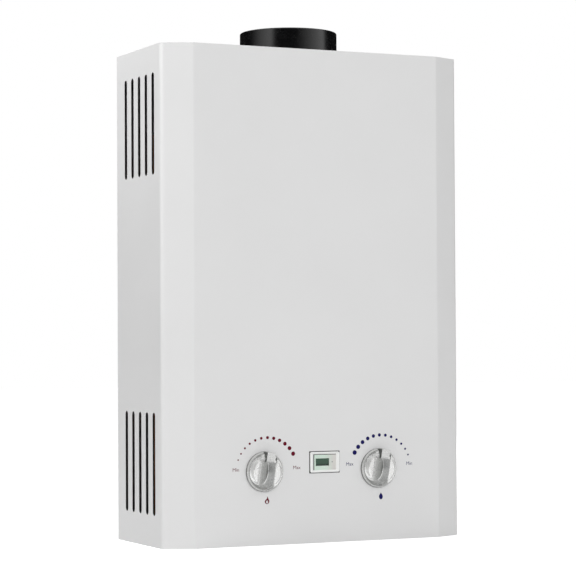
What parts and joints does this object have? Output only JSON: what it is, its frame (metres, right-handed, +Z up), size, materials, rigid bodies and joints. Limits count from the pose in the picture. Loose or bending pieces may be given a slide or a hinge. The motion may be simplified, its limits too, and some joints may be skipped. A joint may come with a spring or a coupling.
{
  "type": "wall-hung gas water heater",
  "caption": "Wall-hung instantaneous gas water heater: white steel case with side vents, black flue collar, chrome flame and water knobs and a small display.",
  "frame": {"origin": "on the wall plane, at the bottom of the case and midway between its sides", "axes": "+X right as seen from the front, +Y into the wall, +Z up; the front face looks along -Y"},
  "size_m": [0.294, 0.1356, 0.462],
  "materials": {
    "case_enamel": "powder-coated sheet steel, warm white, satin",
    "galvanised_steel": "galvanised sheet steel",
    "flue_enamel": "black enamel on steel, glossy",
    "exchanger_copper": null,
    "burner_steel": "stainless sheet, heat-tinted",
    "rail_aluminium": "extruded aluminium",
    "valve_casting": "die-cast alloy, as cast",
    "valve_brass": "forged and turned brass",
    "diaphragm_rubber": "nitrile rubber",
    "knob_chrome": "chrome plate on moulded ABS",
    "bezel_plastic": "white moulded ABS",
    "face_plastic": "pale green-grey printed plastic",
    "display_glass": "dark green liquid crystal glass",
    "housing_plastic": "black moulded ABS",
    "coil_steel": "coil in a painted steel yoke",
    "electrode_ceramic": "glazed alumina",
    "contact_steel": "nickel-plated spring steel",
    "cell_label": "plain printed steel jacket"
  },
  "bodies": {
    "case": {"back_plate": "galvanised_steel", "battery_box": "housing_plastic", "battery_cells": "cell_label", "bottom_plate": "case_enamel", "burner_blades": "burner_steel", "burner_frame": "burner_steel", "cold_inlet_connector": "valve_brass", "cold_pipe": "exchanger_copper", "combustion_chamber": "exchanger_copper", "diaphragm": "diaphragm_rubber", "diaphragm_cover": "valve_brass", "display_bezel": "bezel_plastic", "display_face": "face_plastic", "display_glass": "display_glass", "display_module": "housing_plastic", "door_hinge_pin": "contact_steel", "draft_hood": "galvanised_steel", "drain_plug": "valve_brass", "electrode_bracket": "galvanised_steel", "exchanger_brackets": "galvanised_steel", "exchanger_fins": "exchanger_copper", "exchanger_shell": "exchanger_copper", "exchanger_tubes": "exchanger_copper", "flame_sensor": "electrode_ceramic", "flue_collar": "flue_enamel", "front_cover": "case_enamel", "gas_inlet_connector": "valve_brass", "gas_jets": "valve_brass", "gas_manifold": "rail_aluminium", "gas_riser": "rail_aluminium", "gas_solenoid": "coil_steel", "gas_valve_body": "valve_casting", "hot_outlet_connector": "valve_brass", "hot_pipe": "exchanger_copper", "igniter_box": "housing_plastic", "ignition_electrode": "electrode_ceramic", "microswitch": "housing_plastic", "microswitch_bracket": "galvanised_steel", "overheat_thermostat": "contact_steel", "return_caps": "exchanger_copper", "top_contact": "contact_steel", "top_plate": "case_enamel", "valve_brackets": "galvanised_steel", "water_valve_body": "valve_brass"},
    "flame_control": {"flame_knob": "knob_chrome", "gas_spindle": "valve_brass"},
    "water_control": {"water_knob": "knob_chrome", "water_spindle": "valve_brass"},
    "valve_rod": {"push_rod": "valve_brass"},
    "switch_lever": {"microswitch_lever": "contact_steel"},
    "battery_flap": {"battery_door": "housing_plastic", "door_contact": "contact_steel"}
  },
  "joints": [
    {"name": "flame_knob_turn", "type": "hinge", "parent": "case", "child": "flame_control", "pos_m": [-0.055, -0.118, 0.065], "axis": [0, -1, 0], "range_deg": [-51, 78]},
    {"name": "water_knob_turn", "type": "hinge", "parent": "case", "child": "water_control", "pos_m": [0.058, -0.118, 0.065], "axis": [0, -1, 0], "range_deg": [-58, 69]},
    {"name": "valve_rod_slide", "type": "slide", "parent": "case", "child": "valve_rod", "axis": [-1, 0, 0], "range_m": [0, 0.004], "stiffness_N_per_m": 300, "springref_m": -0.005},
    {"name": "switch_lever_swing", "type": "hinge", "parent": "case", "child": "switch_lever", "pos_m": [0.00245, -0.056, 0.083], "axis": [0, 1, 0], "range_deg": [0, 20]},
    {"name": "battery_door_swing", "type": "hinge", "parent": "case", "child": "battery_flap", "pos_m": [0.1192, -0.0261, 0.0028], "axis": [1, 0, 0], "range_deg": [0, 90]}
  ],
  "couplings": [
    {"joint": "switch_lever_swing", "follows": "valve_rod_slide", "rad_per_m": 84}
  ]
}
